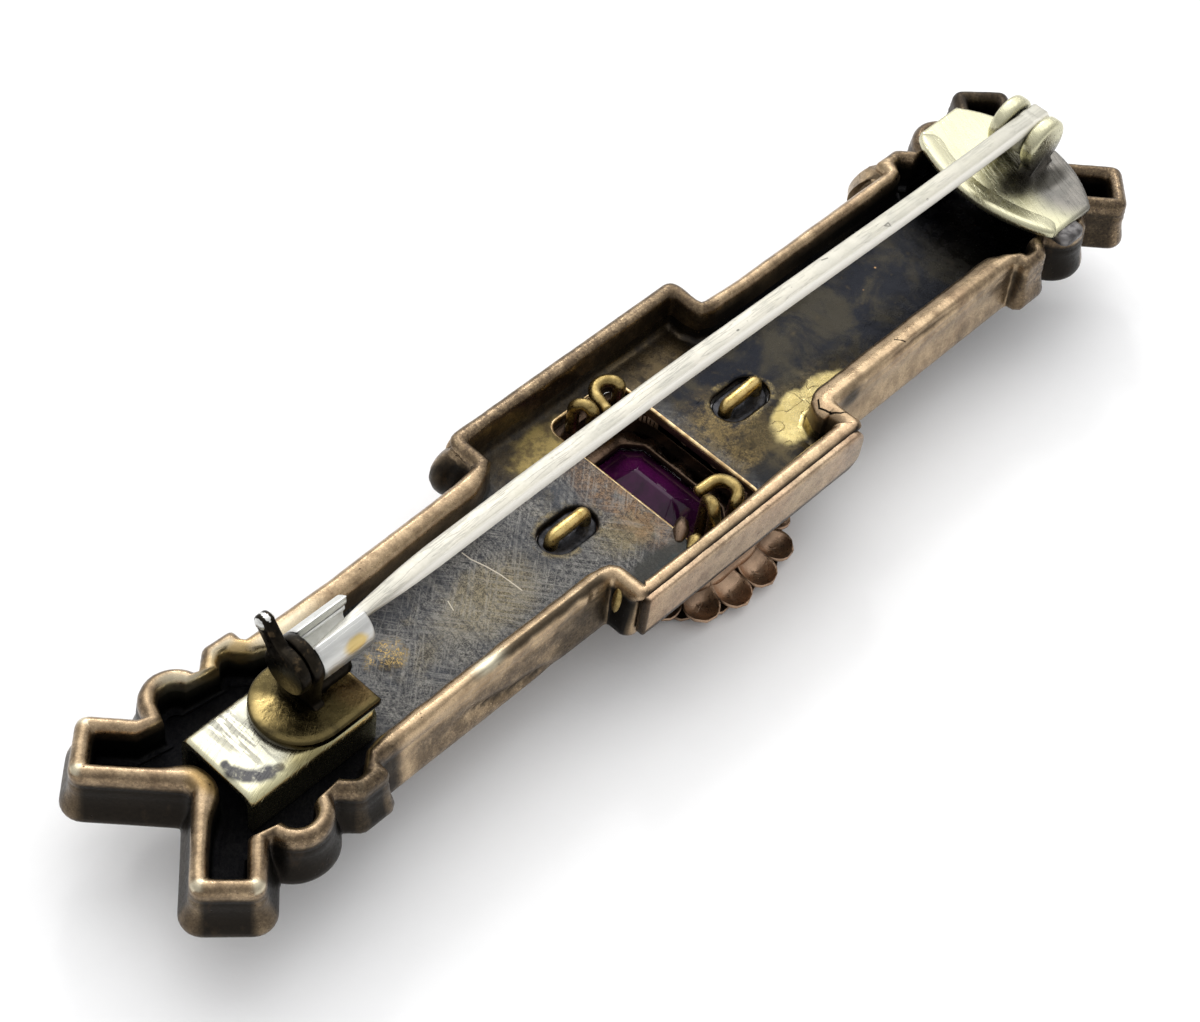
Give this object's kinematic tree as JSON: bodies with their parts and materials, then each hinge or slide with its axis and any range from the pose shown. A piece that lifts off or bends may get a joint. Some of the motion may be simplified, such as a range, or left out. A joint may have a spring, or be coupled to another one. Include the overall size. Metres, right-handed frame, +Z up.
{
  "type": "mourning brooch",
  "caption": "Bar brooch lying face down: hollow forked bar with a raised centre block, claw set stone, hinged pin stem and a catch with a turning safety lever.",
  "frame": {"origin": "on the resting surface under the middle of the centre block", "axes": "+X along the bar towards the hinge, +Y across the bar to the side that the safety lever leans to, +Z up, out of the hollow back"},
  "size_m": [0.0562, 0.012, 0.0101],
  "materials": {
    "gilt_shell": "aged rose gilt, tarnished dark on the floor",
    "gilt_panel": "aged rose gilt, fine pits",
    "setting_metal": "cast, brown patina in the hollows",
    "stone": "polished facets, dark plum",
    "brass_wire": "bright worn wire",
    "white_metal": "worn silver, soft polish",
    "pin_metal": "worn silver, fine lengthwise scratches",
    "bright_plate": "bright, scratched, one dark smear",
    "catch_metal": "olive brass pad, bright silver sleeve",
    "lever_metal": "dark worn brass, bright tip"
  },
  "bodies": {
    "brooch": {"tray": "gilt_shell", "panel_near": "gilt_panel", "panel_far": "gilt_panel", "claw_setting": "setting_metal", "stone": "stone", "staple_left": "brass_wire", "staple_right": "brass_wire", "tie_near_hook": "brass_wire", "tie_near_loop": "brass_wire", "tie_far_hook": "brass_wire", "tie_far_loop": "brass_wire", "hinge_plate": "white_metal", "hinge_rivet": "white_metal", "catch_plate": "bright_plate", "catch_body": "catch_metal"},
    "pin": {"pin_stem": "pin_metal"},
    "lever": {"catch_lever": "lever_metal"}
  },
  "joints": [
    {"name": "pin_hinge", "type": "hinge", "parent": "brooch", "child": "pin", "pos_m": [0.0244, 0.00035, 0.00755], "axis": [0, 1, 0], "range_deg": [0, 110]},
    {"name": "lever_turn", "type": "hinge", "parent": "brooch", "child": "lever", "pos_m": [-0.0194, 0.00035, 0.00815], "axis": [1, 0, 0], "range_deg": [0, 95]}
  ]
}
